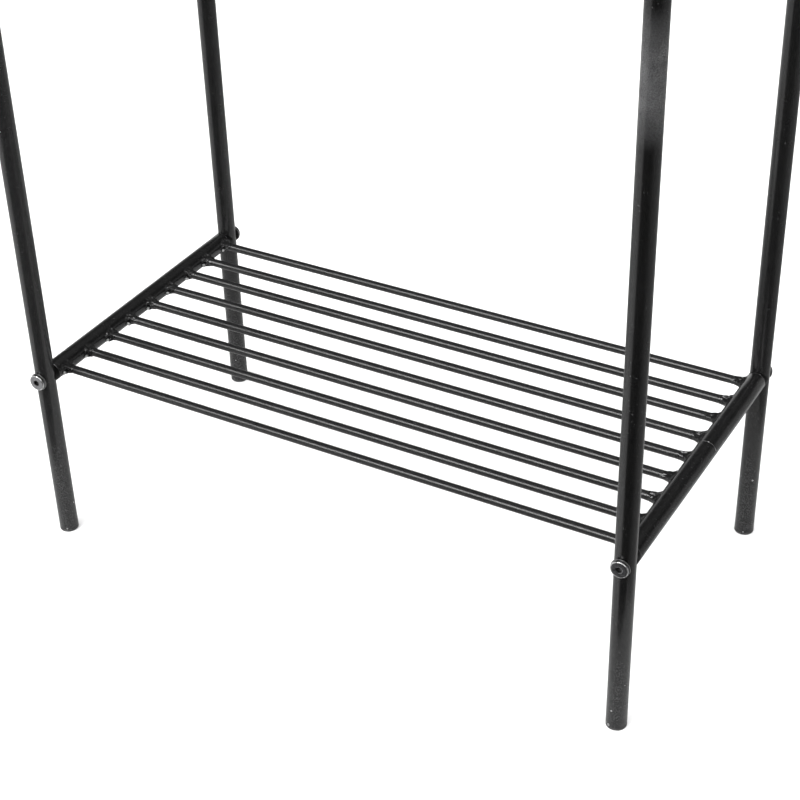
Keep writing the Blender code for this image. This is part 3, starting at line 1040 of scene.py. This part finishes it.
# Direction in degrees, from the front (0) round to +X (90), and brightness
SWEEP = [(-180, 0.95), (-60, 0.95), (-27.5, 0.95), (-25.0, 0.07), (40, 0.04),
         (58, 0.12), (78, 0.28), (100, 0.36), (150, 0.40), (166, 0.60), (180, 0.95)]
SWEEP_TOP = (0.10, 0.34)         # the sweep fades between these heights of a unit direction
ROOM_GLOW = 0.03
WHITE_TO_CAMERA = 1.05


def around_the_room(tree, parts):
    """Brightness of the low sweep by compass direction."""
    backwards = math_node(tree, "MULTIPLY", parts.outputs["Y"], -1.0)
    turn = math_node(tree, "ARCTAN2", parts.outputs["X"], backwards)
    share = spread_node(tree, turn, -math.pi, math.pi, 0.0, 1.0)
    stops = [((degrees + 180) / 360, (value, value, value)) for degrees, value in SWEEP]
    return ramp_node(tree, share, stops)


def make_world():
    """White to the camera. The coat sees a low white sweep, a dark room and the soft boxes."""
    world = bpy.data.worlds.new("studio")
    bpy.context.scene.world = world
    world.use_nodes = True
    tree = world.node_tree
    tree.nodes.clear()
    direction = add_node(tree, "ShaderNodeTexCoord").outputs["Generated"]
    parts = add_node(tree, "ShaderNodeSeparateXYZ")
    tree.links.new(direction, parts.inputs["Vector"])
    low = spread_node(tree, parts.outputs["Z"], SWEEP_TOP[0], SWEEP_TOP[1], 1.0, 0.0)
    total = math_node(tree, "MULTIPLY", low, around_the_room(tree, parts))
    for azimuth, elevation, wide, high, soft, strength in SOFT_BOXES:
        box = world_patch(tree, direction, azimuth, elevation, wide, high, soft)
        total = math_node(tree, "ADD", total, math_node(tree, "MULTIPLY", box, strength))
    total = math_node(tree, "ADD", total, ROOM_GLOW)
    studio = add_node(tree, "ShaderNodeBackground")
    studio.inputs["Color"].default_value = (1, 1, 1, 1)
    tree.links.new(total, studio.inputs["Strength"])
    white = add_node(tree, "ShaderNodeBackground", Strength=WHITE_TO_CAMERA)
    white.inputs["Color"].default_value = (1, 1, 1, 1)
    ray = add_node(tree, "ShaderNodeLightPath")
    choose = add_node(tree, "ShaderNodeMixShader")
    tree.links.new(ray.outputs["Is Camera Ray"], choose.inputs["Fac"])
    tree.links.new(studio.outputs["Background"], choose.inputs[1])
    tree.links.new(white.outputs["Background"], choose.inputs[2])
    output = add_node(tree, "ShaderNodeOutputWorld")
    tree.links.new(choose.outputs["Shader"], output.inputs["Surface"])


def make_camera():
    data = bpy.data.cameras.new("camera")
    data.sensor_width = SENSOR_WIDTH
    data.lens = FOCAL_PIXELS / FRAME_PIXELS * SENSOR_WIDTH
    data.shift_x, data.shift_y = SHIFT
    camera = bpy.data.objects.new("camera", data)
    a, e = CAMERA_AZIMUTH, CAMERA_ELEVATION
    back = Vector((math.sin(a) * math.cos(e), -math.cos(a) * math.cos(e), math.sin(e)))
    level = (-back).to_track_quat("-Z", "Y")
    camera.rotation_mode = "QUATERNION"
    camera.rotation_quaternion = level @ Matrix.Rotation(CAMERA_ROLL, 3, "Z").to_quaternion()
    camera.location = CAMERA_PLACE
    bpy.context.scene.collection.objects.link(camera)
    bpy.context.scene.camera = camera
    bpy.context.scene.view_settings.view_transform = "Standard"


# ---------------------------------------------------------------- the whole scene

def main():
    for corner in CORNERS:
        make_leg(corner)
        make_leg_ends(corner)
    for side in SIDES:
        make_cross_tube("side_brace", side)
        make_cross_tube("top_bar", side)
    make_straight_tube("hanging_rail", (1, 0, 0), (0, 0, 1))
    make_shelf()
    make_scuff()
    make_shelf_joints()
    make_rail_joints()
    for number, chip in enumerate(CHIPS):
        make_chip(number, *chip)
    dress_inserts()
    make_floor()
    make_sun()
    make_world()
    make_camera()


main()
